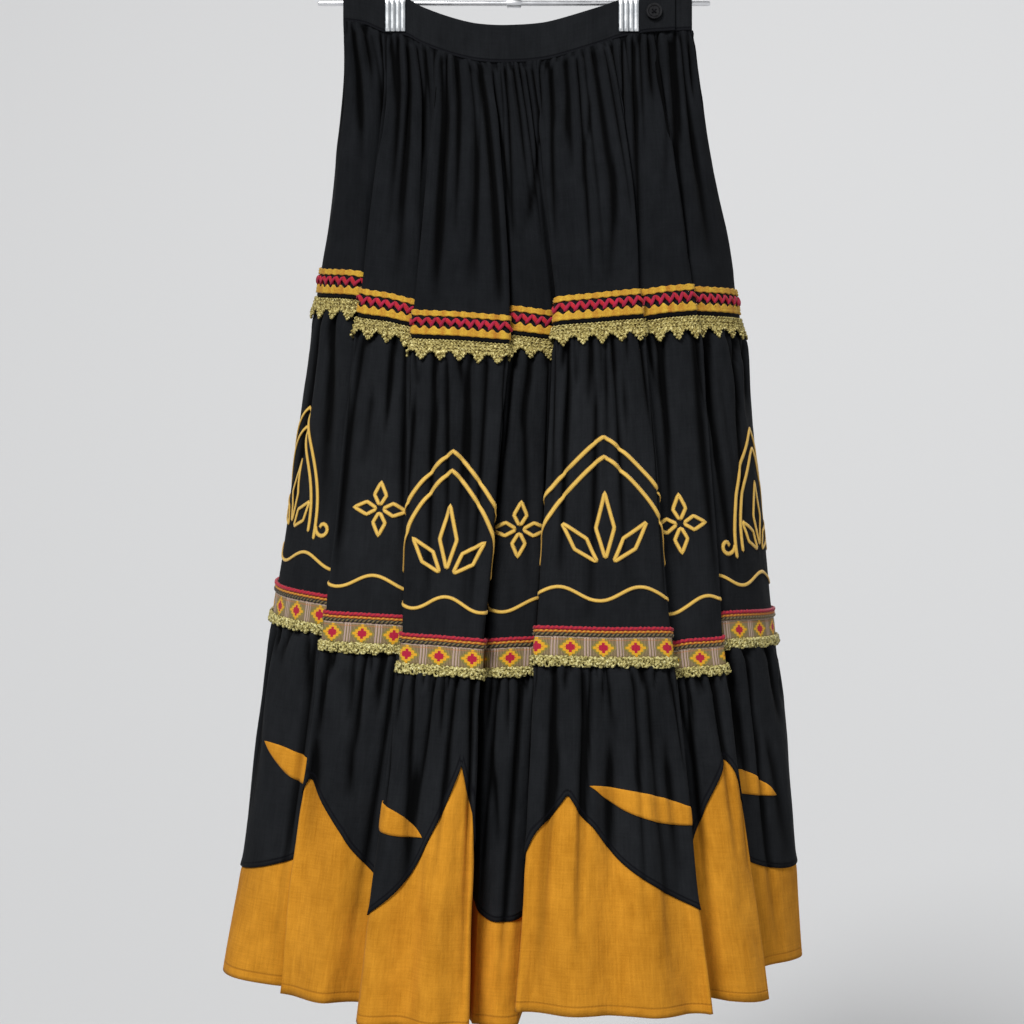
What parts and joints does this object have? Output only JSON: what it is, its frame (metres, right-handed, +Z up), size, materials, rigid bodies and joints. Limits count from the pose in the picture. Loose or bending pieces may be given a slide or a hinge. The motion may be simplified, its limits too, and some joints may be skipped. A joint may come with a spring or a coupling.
{
  "type": "maxi skirt on clip hanger",
  "caption": "Gathered tiered maxi skirt with braid, lace, ribbon trims and a contrasting hem border, clipped to a metal hanger with a hook.",
  "frame": {"origin": "top of the inside of the hook's bend, where the hanger rests on a rail", "axes": "+Z up; the skirt's front faces -Y; +X to the right of someone who looks at the front"},
  "size_m": [0.5641, 0.2871, 1.0493],
  "materials": {
    "black_cloth": "soft matt plain weave",
    "mustard_cloth": "matt slubbed plain weave",
    "braid": "yellow looped edges with a red zigzag over black",
    "gold_lace": "antique gold metallic thread lace",
    "cords": "red, orange and olive twisted cords side by side",
    "ribbon": "woven ribbon with stepped diamonds",
    "button_plastic": "satin black",
    "chrome": "bright plated steel"
  },
  "bodies": {
    "root": {"waistband": "black_cloth", "waistband_button": "button_plastic", "upper_tier_front": "black_cloth", "upper_tier_back": "black_cloth", "middle_tier_front": "black_cloth", "middle_tier_back": "black_cloth", "lower_tier_front": "black_cloth", "lower_tier_back": "black_cloth", "hem_border_front": "mustard_cloth", "hem_border_back": "mustard_cloth", "upper_braid": "braid", "upper_lace": "gold_lace", "lower_cords": "cords", "lower_ribbon": "ribbon", "lower_lace": "gold_lace", "hanger_bar": "chrome", "hanger_hub": "chrome", "hanger_hook": "chrome", "clip_left_sleeve": "chrome", "clip_left_front": "chrome", "clip_left_back": "chrome", "clip_right_sleeve": "chrome", "clip_right_front": "chrome", "clip_right_back": "chrome"}
  },
  "joints": []
}
